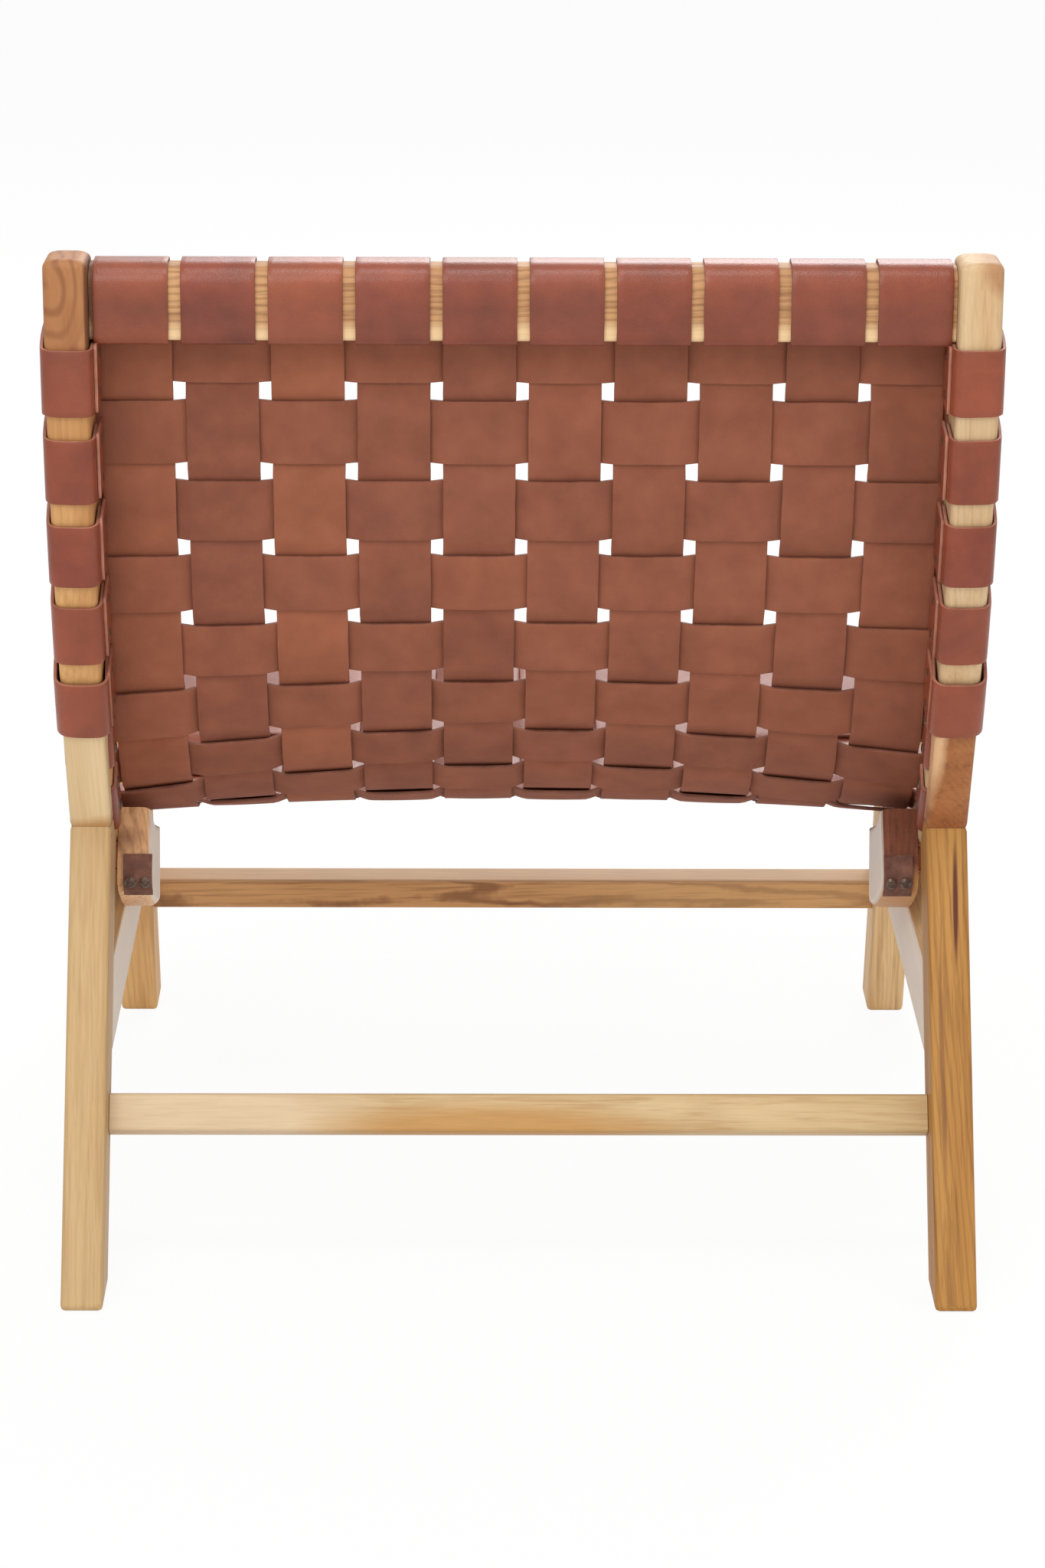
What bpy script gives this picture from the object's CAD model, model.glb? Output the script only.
# %% [markdown]
# # A lounge chair with a woven leather seat
#
# The chair is two side frames of oiled hardwood, four rails between them, and one
# sheet of flat leather straps that is woven right on the frame. Every strap starts
# nailed under a rail or to a board, runs over and under its neighbours, and is nailed
# again at its other end.
#
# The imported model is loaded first. Its solids say where everything is, so the new
# pieces repeat its few sizes and fit it without any shifting about.

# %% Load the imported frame
import math

import bmesh
import bpy
from mathutils import Euler, Matrix, Vector, noise


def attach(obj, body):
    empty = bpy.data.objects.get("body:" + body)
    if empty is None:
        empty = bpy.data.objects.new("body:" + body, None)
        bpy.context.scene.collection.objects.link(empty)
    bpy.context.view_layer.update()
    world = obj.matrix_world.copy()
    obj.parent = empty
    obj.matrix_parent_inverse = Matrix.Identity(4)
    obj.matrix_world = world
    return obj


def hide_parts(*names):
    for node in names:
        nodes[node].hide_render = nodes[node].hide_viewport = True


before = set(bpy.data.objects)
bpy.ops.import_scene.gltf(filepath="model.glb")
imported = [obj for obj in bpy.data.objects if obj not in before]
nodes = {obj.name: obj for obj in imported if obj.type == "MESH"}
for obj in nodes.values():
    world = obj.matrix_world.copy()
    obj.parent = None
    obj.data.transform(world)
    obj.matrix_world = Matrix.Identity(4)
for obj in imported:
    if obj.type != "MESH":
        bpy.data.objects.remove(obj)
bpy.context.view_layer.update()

# %% [markdown]
# ## Camera
#
# The chair is seen from behind and a little above, from about three metres away, with
# a long lens. The picture is taller than wide, so the lens is worked out on the
# picture's height.

# %% Camera at the photograph's angle
image_height = 2048
focal_pixels = 6000
sensor_height = 36
camera_data = bpy.data.cameras.new("camera")
camera_data.sensor_fit = "VERTICAL"
camera_data.sensor_width = sensor_height
camera_data.sensor_height = sensor_height
camera_data.lens = focal_pixels / image_height * sensor_height
camera_data.clip_end = 100
camera = bpy.data.objects.new("camera", camera_data)
camera.location = (-0.0347, -3.2739, 1.3621)
look_down, look_aside, lean_over = 18.19, -0.676, 0.33
camera_pitch = Matrix.Rotation(math.radians(90 - look_down), 3, "X")
camera_yaw = Matrix.Rotation(math.radians(look_aside), 3, "Z")
camera_roll = Matrix.Rotation(math.radians(lean_over), 3, "Z")
camera.rotation_euler = (camera_yaw @ camera_pitch @ camera_roll).to_euler()
bpy.context.scene.collection.objects.link(camera)
bpy.context.scene.camera = camera
print("camera: lens", round(camera_data.lens, 1), "mm at", tuple(camera.location))

# %% [markdown]
# ## Words for nodes
#
# Every finish on the chair is a small tree of nodes, and so are the floor and the sky.
# Each helper below adds one kind of node and gives back what comes out of it, so a
# finish further down reads like a recipe. Colours are picked by eye on a scale from 0
# to 255, as in a paint program. Nodes reckon in amounts of light, so they are changed
# over first.

# %% Trees, nodes and colours
def new_material(name):
    material = bpy.data.materials.new(name)
    material.use_nodes = True
    material.node_tree.nodes.clear()
    return material, material.node_tree


def add_node(tree, kind, inputs=None, **settings):
    node = tree.nodes.new(kind)
    for key, value in settings.items():
        setattr(node, key, value)
    for key, value in (inputs or {}).items():
        if isinstance(value, bpy.types.NodeSocket):
            tree.links.new(value, node.inputs[key])
        else:
            node.inputs[key].default_value = value
    return node


def amount_of_light(value):
    share = value / 255
    return share / 12.92 if share < 0.04045 else ((share + 0.055) / 1.055) ** 2.4


def linear(red, green, blue):
    """A colour picked by eye from 0 to 255, as the light values that nodes use."""
    return [amount_of_light(red), amount_of_light(green), amount_of_light(blue), 1]


print("a tone of 128 is", round(amount_of_light(128), 3), "of full light")

# %% [markdown]
# A pattern starts as numbers from a noise. They are stretched to the range that is
# wanted, and then choose between two colours, or make a tone lighter or darker.

# %% Helpers for patterns
number_makers = ("LENGTH", "DOT_PRODUCT")


def mixed(tree, share, low, high):
    """A colour between two others."""
    node = add_node(tree, "ShaderNodeMix", {0: share, 6: low, 7: high}, data_type="RGBA")
    return node.outputs[2]


def spread(tree, value, low, high, to_low=0, to_high=1):
    """Stretches the values from low to high over another range and clips the rest."""
    limits = {"From Min": low, "From Max": high, "To Min": to_low, "To Max": to_high}
    return add_node(tree, "ShaderNodeMapRange", {"Value": value, **limits}).outputs[0]


def noise_at(tree, place, scale, detail=2, roughness=0.5):
    settings = {"Vector": place, "Scale": scale, "Detail": detail, "Roughness": roughness}
    return add_node(tree, "ShaderNodeTexNoise", settings).outputs[0]


def maths(tree, operation, *values, clamp=False):
    inputs = dict(enumerate(values))
    node = add_node(tree, "ShaderNodeMath", inputs, operation=operation, use_clamp=clamp)
    return node.outputs[0]


def vectors(tree, operation, *values):
    inputs = dict(enumerate(values))
    node = add_node(tree, "ShaderNodeVectorMath", inputs, operation=operation)
    return node.outputs["Value" if operation in number_makers else "Vector"]


def mapped(tree, place, **inputs):
    node = add_node(tree, "ShaderNodeMapping", {"Vector": place})
    for key, value in inputs.items():
        node.inputs[key.title()].default_value = value
    return node.outputs[0]


print("vector nodes that give a number:", " and ".join(number_makers))

# %% [markdown]
# Each finish ends alike: a height gives the fine relief, and one shader takes the
# colour, the roughness and that relief. The floor and the sky also have to know which
# light the camera sees. The scene is shown plainly, without the softer look that
# Blender starts with, so that a tone renders about as it is written.

# %% The end of a finish
def finish_material(tree, colour, roughness, height, distance, specular, **inputs):
    """Ends a material with its relief and its shader."""
    relief = {"Height": height, "Strength": 1, "Distance": distance}
    bump = add_node(tree, "ShaderNodeBump", relief).outputs[0]
    settings = {"Base Color": colour, "Roughness": roughness, "Normal": bump}
    settings["Specular IOR Level"] = specular
    shader = add_node(tree, "ShaderNodeBsdfPrincipled", {**settings, **inputs})
    add_node(tree, "ShaderNodeOutputMaterial", {"Surface": shader.outputs[0]})


def seen_rays(tree):
    """1 for light that the camera sees straight or by way of a shiny or clear thing."""
    path = add_node(tree, "ShaderNodeLightPath").outputs
    mirrored = maths(tree, "ADD", path["Is Glossy Ray"], path["Is Transmission Ray"])
    return maths(tree, "ADD", path["Is Camera Ray"], mirrored, clamp=True)


view_settings = bpy.context.scene.view_settings
view_settings.view_transform = "Standard"
print("colours are shown with the", view_settings.view_transform, "transform")

# %% [markdown]
# ## Floor
#
# The floor is a wide pale sheet. To the camera it also glows, so that it reads as the
# white floor of a studio and still keeps a faint shadow under the chair. Light that
# comes by way of a shiny or clear thing sees the same white.

# %% Floor
white = (1, 1, 1, 1)
floor_glow = 0.93
floor_reach = 30
floor_mesh = bpy.data.meshes.new("floor")
floor_shape = bmesh.new()
bmesh.ops.create_grid(floor_shape, x_segments=1, y_segments=1, size=floor_reach)
floor_shape.to_mesh(floor_mesh)
floor_shape.free()
floor = bpy.data.objects.new("floor", floor_mesh)
bpy.context.scene.collection.objects.link(floor)

floor_material, tree = new_material("floor_white")
glow_share = maths(tree, "MULTIPLY", seen_rays(tree), floor_glow)
diffuse = add_node(tree, "ShaderNodeBsdfDiffuse", {"Color": linear(246, 246, 246)})
glow = add_node(tree, "ShaderNodeEmission", {"Color": white, "Strength": 1})
mix = add_node(
    tree,
    "ShaderNodeMixShader",
    {0: glow_share, 1: diffuse.outputs[0], 2: glow.outputs[0]},
)
add_node(tree, "ShaderNodeOutputMaterial", {"Surface": mix.outputs[0]})
floor_mesh.materials.append(floor_material)
print("floor:", 2 * floor_reach, "m square")

# %% [markdown]
# ## Sky and lamps
#
# A pale sky fills the shadows. It is pure white to the camera, and gives the chair a
# little less light than that. A large lamp above, behind the chair and to its left,
# models the round edges, and a low one looks in under the seat. Two more light the
# right side and the front. The small one overhead draws the shine along the top rail.

# %% Sky
sky_light = 0.62
world = bpy.data.worlds.new("studio")
world.use_nodes = True
world.node_tree.nodes.clear()
tree = world.node_tree
sky_strength = spread(tree, seen_rays(tree), 0, 1, sky_light, 1)
sky = add_node(tree, "ShaderNodeBackground", {"Color": white, "Strength": sky_strength})
add_node(tree, "ShaderNodeOutputWorld", {"Surface": sky.outputs[0]})
bpy.context.scene.world = world
print("sky: a strength of", sky_light, "on the chair")

# %% [markdown]
# Each lamp is a soft square panel that looks at a place on the chair. It is given by
# its own place, the place it looks at, its size in metres and its power in watts.

# %% Lamps
def add_lamp(name, place, target, size, power):
    lamp_data = bpy.data.lights.new(name, "AREA")
    lamp_data.shape = "SQUARE"
    lamp_data.size = size
    lamp_data.energy = power
    lamp = bpy.data.objects.new(name, lamp_data)
    lamp.location = place
    way = Vector(target) - Vector(place)
    lamp.rotation_euler = way.to_track_quat("-Z", "Y").to_euler()
    bpy.context.scene.collection.objects.link(lamp)
    print("lamp", name, power, "W")


add_lamp("rear_key", (-0.9, -2.6, 2.6), (0, 0, 0.4), 1.6, 38)
add_lamp("rear_low", (-0.3, -3.4, 0.6), (0, 0.2, 0.25), 1.4, 7)
add_lamp("rear_fill", (2.2, -2.2, 1.2), (0, 0, 0.35), 1.6, 8)
add_lamp("front_fill", (0.6, 2.8, 2.4), (0, 0, 0.35), 2.0, 58)
add_lamp("top_line", (0, -0.9, 3.0), (0, -0.2, 0.7), 0.7, 17)

# %% [markdown]
# ## The line of the side board
#
# Seen from the side, the front face of each side board is a gently hollow back, a
# straight knee, a round bend and a nearly level seat. The straps lie on this line, so
# every piece of the woven sheet is placed by three numbers: how far it is across the
# chair, how far along this line, and how far out from it towards the sitter.
#
# The long edges of the boards are rounded a little. Down the back, hands and straps
# have worn the two rear edges rounder still.

# %% The line in the side view
chair_width = 0.645
board_thickness = 0.0295
outer_face = chair_width / 2
inner_face = outer_face - board_thickness
touch_gap = 0.0003
edge_radius = 0.003
worn_radius = 0.0052

line_start = (-0.199048, 0.735)
start_angle = math.radians(-2.5)
knee_angle = math.radians(25)
seat_angle = math.radians(104)
back_radius = 0.760
bend_radius = 0.213
knee_length = 0.005
seat_length = 0.1766
back_length = back_radius * (knee_angle - start_angle)
bend_start = back_length + knee_length
bend_end = bend_start + bend_radius * (seat_angle - knee_angle)
board_length = bend_end + seat_length
line_runs = (
    (back_length, back_radius),
    (bend_start - back_length, math.inf),
    (bend_end - bend_start, bend_radius),
    (math.inf, math.inf),
)


def line_at(along):
    """Depth, height, angle from straight down and radius of the line at a place on it."""
    y, z = line_start
    angle = start_angle
    left = along
    for length, radius in line_runs:
        step = min(left, length)
        turned = angle + step / radius
        if radius == math.inf:
            y += step * math.sin(angle)
            z -= step * math.cos(angle)
        else:
            y += radius * (math.cos(angle) - math.cos(turned))
            z -= radius * (math.sin(turned) - math.sin(angle))
        angle = turned
        left -= step
        if left <= 0:
            break
    return y, z, angle, radius


def side_view(along, out):
    y, z, angle, _ = line_at(along)
    return y + math.cos(angle) * out, z + math.sin(angle) * out


print("line:", round(board_length, 4), "m long, bend from", round(bend_start, 4))

# %% [markdown]
# ## Depth of the board behind the line
#
# The board is deep down the back, narrows to a neck where the head of the rear leg
# takes over, and grows again round the bend.

# %% Depth of the side board
board_width = 0.048
neck_depth, bend_depth, nose_depth = 0.016, 0.042, 0.036
shoulder_lead = 0.0388
neck_end_angle = math.radians(62)
shoulder_place = back_length - shoulder_lead
neck_end = bend_start + bend_radius * (neck_end_angle - knee_angle)
depth_places = (
    (shoulder_place, neck_depth),
    (neck_end, bend_depth),
    (bend_end, bend_depth),
    (board_length, nose_depth),
)


def board_depth(along):
    if along <= shoulder_place:
        return board_width
    for (start, low), (end, high) in zip(depth_places, depth_places[1:]):
        if along <= end:
            return low + (high - low) * (along - start) / (end - start)
    return nose_depth


print("depth of the board at its nose:", board_depth(board_length))

# %% [markdown]
# ## A slab that is bent into place
#
# To a modeller, a strap is a flat slab, cut into small squares and then bent. The slab
# is made from a grid that is extruded once, so it is closed from the start, and each
# of its points carries three numbers from 0 to 1 until a function gives it its place.

# %% Slab helper
def new_slab(across_steps, along_steps):
    """A closed slab of squares: x runs across, y along, and z is 0 or 1 through it."""
    slab = bmesh.new()
    bmesh.ops.create_grid(
        slab, x_segments=across_steps, y_segments=along_steps, size=0.5
    )
    made = bmesh.ops.extrude_face_region(slab, geom=slab.faces[:])
    top = [v for v in made["geom"] if isinstance(v, bmesh.types.BMVert)]
    bmesh.ops.translate(slab, vec=(0, 0, 1), verts=top)
    bmesh.ops.translate(slab, vec=(0.5, 0.5, 0), verts=slab.verts)
    return slab


test_slab = new_slab(2, 3)
print("a slab of 2 by 3 squares has", len(test_slab.faces), "faces")
test_slab.free()

# %% [markdown]
# The wooden pieces that need a shape of their own are rings of points, one behind the
# other. The same grid does it: it is rolled up over the rings, sewn where its two
# sides meet, and closed with a cap at each end.

# %% Tube helper
merge_reach = 0.00001


def new_tube(rings):
    """A closed piece over rings of points: a sheet, rolled up, sewn and capped."""
    around, along = len(rings[0]), len(rings) - 1
    tube = bmesh.new()
    bmesh.ops.create_grid(tube, x_segments=around, y_segments=along, size=0.5)
    for vert in tube.verts:
        k = round((vert.co.x + 0.5) * around) % around
        vert.co = rings[round((vert.co.y + 0.5) * along)][k]
    bmesh.ops.remove_doubles(tube, verts=tube.verts, dist=merge_reach)
    open_edges = [edge for edge in tube.edges if edge.is_boundary]
    bmesh.ops.holes_fill(tube, edges=open_edges, sides=0)
    bmesh.ops.recalc_face_normals(tube, faces=tube.faces)
    return tube


def test_ring(height):
    return [Vector((x, y, height)) for x, y in ((0, 0), (1, 0), (1, 1), (0, 1))]


test_tube = new_tube([test_ring(0), test_ring(1)])
print("a tube over two rings of four points has", len(test_tube.faces), "faces")
test_tube.free()

# %% [markdown]
# A shape becomes a piece of the chair when it has its material, rides on the chair's
# body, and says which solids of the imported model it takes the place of.

# %% Finishing a piece
made_pieces = []


def finish_piece(name, shape, material, replaced=()):
    """Turns a finished bmesh into a piece of the chair."""
    mesh = bpy.data.meshes.new(name)
    shape.to_mesh(mesh)
    shape.free()
    mesh.materials.append(material)
    for polygon in mesh.polygons:
        polygon.use_smooth = True
    piece = bpy.data.objects.new(name, mesh)
    bpy.context.scene.collection.objects.link(piece)
    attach(piece, "root")
    if replaced:
        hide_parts(*replaced)
    made_pieces.append(name)
    return piece


print("pieces made so far:", len(made_pieces))

# %% [markdown]
# ## Leather
#
# The straps are cut from one thick hide. The face that lies outwards, round the rails
# and towards the sitter, is the smooth grain side with a low shine. The side that
# shows from behind is the flesh side, which is matt and a little fibrous. The cut
# edges are raw and paler, most of all where a strap goes round a board. All of them
# are one material, and a number on each face of the mesh says which side of the hide
# it is: 0 for flesh, 1 for grain, and one half or a little more for the cut edges.
#
# Each strap has a tint of its own, as the straps on a real chair come from different
# parts of the hide. Where hands lift the chair, at the top rail, the leather has gone
# darker.

# %% Leather material
rail_height = 0.690
old_cut, fresh_cut = 0.5, 0.6


def face_value(tree, name):
    return add_node(tree, "ShaderNodeAttribute", attribute_name=name).outputs["Fac"]


def leather_material(name, grain, flesh, cut_edge, fresh_edge, warm):
    """All but the name are pairs of colours, which soft clouds mix."""
    material, tree = new_material(name)
    uv = add_node(tree, "ShaderNodeUVMap", uv_map="hide").outputs[0]
    side = face_value(tree, "hide_side")
    tint = face_value(tree, "hide_tint")
    clouds = spread(tree, noise_at(tree, uv, 38, 4, 0.55), 0.3, 0.7)
    patches = noise_at(tree, mapped(tree, uv, scale=(0.15, 1, 1)), 14, 1)
    stains = noise_at(tree, uv, 6, 3)
    fibres = noise_at(tree, uv, 950, 3, 0.7)
    pore_cells = add_node(tree, "ShaderNodeTexVoronoi", {"Vector": uv, "Scale": 1300})
    pores = pore_cells.outputs[0]

    grain_colour = mixed(tree, clouds, *grain)
    flesh_colour = mixed(tree, clouds, *flesh)
    two_sides = mixed(tree, side, flesh_colour, grain_colour)
    tinted = mixed(tree, 0.28, two_sides, mixed(tree, tint, *warm))
    stain_share = spread(tree, stains, 0.45, 0.7, 0, 0.16)
    mauve = mixed(tree, stain_share, tinted, linear(126, 80, 68))
    speckle = spread(tree, fibres, 0.3, 0.7, 0.95, 1.04)
    shade = maths(tree, "MULTIPLY", spread(tree, patches, 0.3, 0.7, 0.9, 1.06), speckle)
    place = add_node(tree, "ShaderNodeTexCoord").outputs["Object"]
    height_up = add_node(tree, "ShaderNodeSeparateXYZ", {0: place}).outputs["Z"]
    off_rail = maths(tree, "ABSOLUTE", maths(tree, "SUBTRACT", height_up, rail_height))
    shade = maths(tree, "MULTIPLY", shade, spread(tree, off_rail, 0.010, 0.028, 0.79, 1))
    shaded = vectors(tree, "MULTIPLY", mauve, shade)
    fresh = spread(tree, side, old_cut, fresh_cut)
    old_colour = mixed(tree, clouds, *cut_edge)
    fresh_colour = mixed(tree, clouds, *fresh_edge)
    edge_colour = mixed(tree, fresh, old_colour, fresh_colour)
    on_edge = maths(tree, "COMPARE", side, old_cut, 0.2)
    colour = mixed(tree, on_edge, shaded, edge_colour)

    roughness = spread(tree, side, 0, 1, 0.85, 0.32)
    relief = add_node(tree, "ShaderNodeMix", {0: side, 2: fibres, 3: pores}).outputs[0]
    height = maths(tree, "ADD", maths(tree, "MULTIPLY", clouds, 2.5), relief)
    finish_material(tree, colour, roughness, height, 0.00009, 0.38)
    return material


leather = leather_material(
    "brown_leather",
    grain=(linear(113, 50, 30), linear(144, 68, 43)),
    flesh=(linear(124, 74, 54), linear(147, 91, 67)),
    cut_edge=(linear(104, 60, 46), linear(144, 92, 72)),
    fresh_edge=(linear(142, 86, 68), linear(180, 120, 97)),
    warm=(linear(124, 56, 42), linear(200, 112, 68)),
)
print("leather material:", len(leather.node_tree.nodes), "nodes")

# %% [markdown]
# ## Rows and columns of the weave
#
# Thirteen straps run across the chair and ten run down it, with small gaps between
# them. The ones across are pulled the hardest, and have drawn in by a few millimetres.
# A strap swings a little more than half its thickness to one side of the sheet while it
# passes a neighbour, and changes side in the gap before the next one.

# %% Places of the straps
strap_width = 0.0503
cross_width = 0.0465
strap_thickness = 0.0024
row_count = 13
column_count = 10
rows_start = 0.0468
side_gap = 0.0032
front_rail_lead = 0.027
front_rail_start = board_length - front_rail_lead
row_pitch = (front_rail_start - touch_gap - rows_start - strap_width) / (row_count - 1)
column_pitch = (2 * (inner_face - side_gap) - strap_width) / (column_count - 1)
row_middles = [rows_start + strap_width / 2 + row * row_pitch for row in range(row_count)]
column_middles = [
    (column - (column_count - 1) / 2) * column_pitch for column in range(column_count)
]
print("pitches:", round(row_pitch, 5), round(column_pitch, 5))

# %% [markdown]
# The sheet lies a little way out from the line, so that no strap touches the wood. It
# is drawn tight across the bend, so in the middle of the chair it cuts the corner by a
# finger's width.

# %% Shape of the sheet
wood_clearance = 0.0005
face_standoff = wood_clearance + strap_thickness / 2
sheet_clearance = 0.0014
weave_standoff = face_standoff + sheet_clearance
crown_height = 0.0223
crown_share = 0.227
crown_place = bend_start + crown_share * (bend_end - bend_start)
crown_reach = 0.140


def crown(x, along):
    off_middle = min(1, abs(x) / inner_face)
    off_bend = (along - crown_place) / crown_reach
    return crown_height * (1 - off_middle**2) * math.exp(-(off_bend**2))


print("crown over the bend:", crown(0, crown_place))

# %% [markdown]
# The straps change sides in turn, like the squares of a chessboard. Each one starts to
# cross over a little before its neighbour ends, and its flat squares arch slightly.

# %% Over and under
weave_swing = 0.0015
patch_arch = 0.0005
early_turn = 0.06


def cross_is_behind(row, column):
    return (row + column) % 2 == 1


def smooth_step(share):
    share = min(1, max(0, share))
    return share * share * (3 - 2 * share)


def swing_at(place, middles, signs):
    """Side of the sheet a strap is on, from -1 behind to 1 in front, and its arch."""
    pitch = middles[1] - middles[0]
    step = (place - middles[0]) / pitch
    low = min(len(middles) - 2, max(0, math.floor(step)))
    share = min(1, max(0, step - low))
    turn = strap_width / 2 / pitch - early_turn
    blend = smooth_step((share - turn) / (1 - 2 * turn))
    side = signs[low] * (1 - blend) + signs[low + 1] * blend
    from_middle = min(share, 1 - share) * pitch / (strap_width / 2)
    return side, side * max(0, 1 - from_middle**2)


print("a strap swings by", weave_swing * 1000, "mm to each side")

# %% [markdown]
# ## Bending a strap
#
# A strap is one slab. Its long way follows a list of stations, and each station gives
# a point and the way out of the strap's face there. The cut edges waver a little, as
# a knife leaves them, and so do the ends. A noise does this, and the number of the
# strap takes it to another place each time.

# %% Wavering edges
edge_wave, edge_rate = 0.00026, 90
end_wave, end_rate = 0.0011, 110
seed_steps = (7.31, 1.7)


def waver(place, seed, rate):
    sideways, deeper = [seed * step for step in seed_steps]
    return noise.noise(Vector((place * rate, sideways, deeper)))


print("cut edges waver by", edge_wave * 1000, "mm")

# %% [markdown]
# The grid of the slab has a row of squares for each pair of stations, so the strap is
# finest where the stations are close, round the edges of the boards. Its cut edges are
# then bevelled. The map of the hide is laid out in real metres along the strap, so
# that pores and fibres have one size everywhere.

# %% Strap helper
strap_steps_across = 12
bevel_width = 0.00045
wrap_numbers = 5
hide_step = Vector((0.37, 0.71))


def bend_strap(stations, place_of, seed, tint, width=strap_width):
    """stations lie along the strap; place_of(station, u) gives a point and a way."""
    count = len(stations) - 1
    slab = new_slab(strap_steps_across, count)
    lengths = [0.0]
    for low, high in zip(stations, stations[1:]):
        step = (place_of(high, 0)[0] - place_of(low, 0)[0]).length
        lengths.append(lengths[-1] + step)
    side_layer = slab.faces.layers.float.new("hide_side")
    tint_layer = slab.faces.layers.float.new("hide_tint")
    uv_layer = slab.loops.layers.uv.new("hide")
    for face in slab.faces:
        heights = [v.co.z for v in face.verts]
        station = stations[round(face.calc_center_median().y * count)]
        cut = fresh_cut if len(station) == wrap_numbers else old_cut
        face[side_layer] = cut if max(heights) != min(heights) else heights[0]
        face[tint_layer] = tint
        for loop in face.loops:
            index = round(loop.vert.co.y * count)
            across = (loop.vert.co.x - 0.5) * width
            loop[uv_layer].uv = Vector((across, lengths[index])) + seed * hide_step
    for vert in slab.verts:
        share, along, through = vert.co
        index = round(along * count)
        u = (share - 0.5) * width
        edge = abs(2 * share - 1) ** 6
        u += edge * edge_wave * waver(lengths[index], seed + (share > 0.5), edge_rate)
        point, way = place_of(stations[index], u)
        if index in (0, count):
            inner_point = place_of(stations[1 if index == 0 else -2], u)[0]
            past_end = (point - inner_point).normalized()
            point += past_end * (end_wave * waver(u, seed + index, end_rate))
        vert.co = point + way * ((through - 0.5) * strap_thickness)
    bmesh.ops.recalc_face_normals(slab, faces=slab.faces)
    rim = [
        edge
        for edge in slab.edges
        if edge.is_manifold
        and edge.link_faces[0][side_layer] != edge.link_faces[1][side_layer]
    ]
    bmesh.ops.bevel(
        slab,
        geom=rim,
        offset=bevel_width,
        segments=2,
        profile=0.5,
        affect="EDGES",
        material=-1,
        clamp_overlap=True,
    )
    return slab, lengths[-1]


print("squares across a strap:", strap_steps_across)

# %% [markdown]
# ## Cross straps
#
# A cross strap is woven through all ten columns. At each side it comes over the front
# face of the board, goes round the outer edge and across the back, and ends in a short
# flap that is nailed on the inner face. Down the back, every wrap slips lower on its
# way round, by about a centimetre on the left board and a little less on the right.
# One strap, the fifth, is looser than the others. Over the front leg there is no room
# behind the board, so the last two straps end on its outer face.

# %% How tight the straps are wound
wrap_drop = 0.011
back_sag = {-1: 0.88, 1: 0.72}
row_looseness = [0.0003, 0.0002, 0.0004, 0.0003, 0.0016, 0.0003] + [0.0002] * 7
front_leg_rows = (11, 12)
outside_end = [row in front_leg_rows for row in range(row_count)]
print("drop of the wraps:", [round(wrap_drop * sag, 4) for sag in back_sag.values()], "m")

# %% [markdown]
# A wrap is one chain of stations: over the front edge, down the outer face, round the
# rear edge, across the back, and round the last edge to the inner face. The board is
# not equally deep everywhere, so each station gives its distance out as a function of
# the depth.

# %% Stations round one edge of the board
corner_steps = 6


def shares(steps):
    return [k / steps for k in range(1, steps + 1)]


def edge_turn(x, out, radius, from_angle, to_angle, from_drop, to_drop):
    """Stations round a middle at x and out; the radius is that of the strap's middle."""
    stations = []
    for share in [0] + shares(corner_steps):
        angle = math.radians(from_angle + (to_angle - from_angle) * share)
        way_x, way_out = math.cos(angle), math.sin(angle)
        drop = from_drop + (to_drop - from_drop) * share

        def out_of(depth, reach=way_out * radius):
            return out(depth) + reach

        stations.append((x + way_x * radius, out_of, way_x, way_out, drop))
    return stations


print("stations round one edge:", corner_steps + 1)

# %% [markdown]
# Between the edges the strap lies flat on the wood, and stands off it a little in the
# middle of each face. Most of the drop comes on the outer face. All of this is worked
# out for the right board, and mirrored for the left one.

# %% Stations round the whole board
outer_steps, back_steps, flap_steps = 7, 6, 8
flap_length = 0.032
flap_share = 0.75
end_margin = 0.005
ramp_length = 0.0035
outer_bulge = 0.0007
back_bulge = 0.0005
edge_drop = 0.1
late_drop = 0.03


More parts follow.
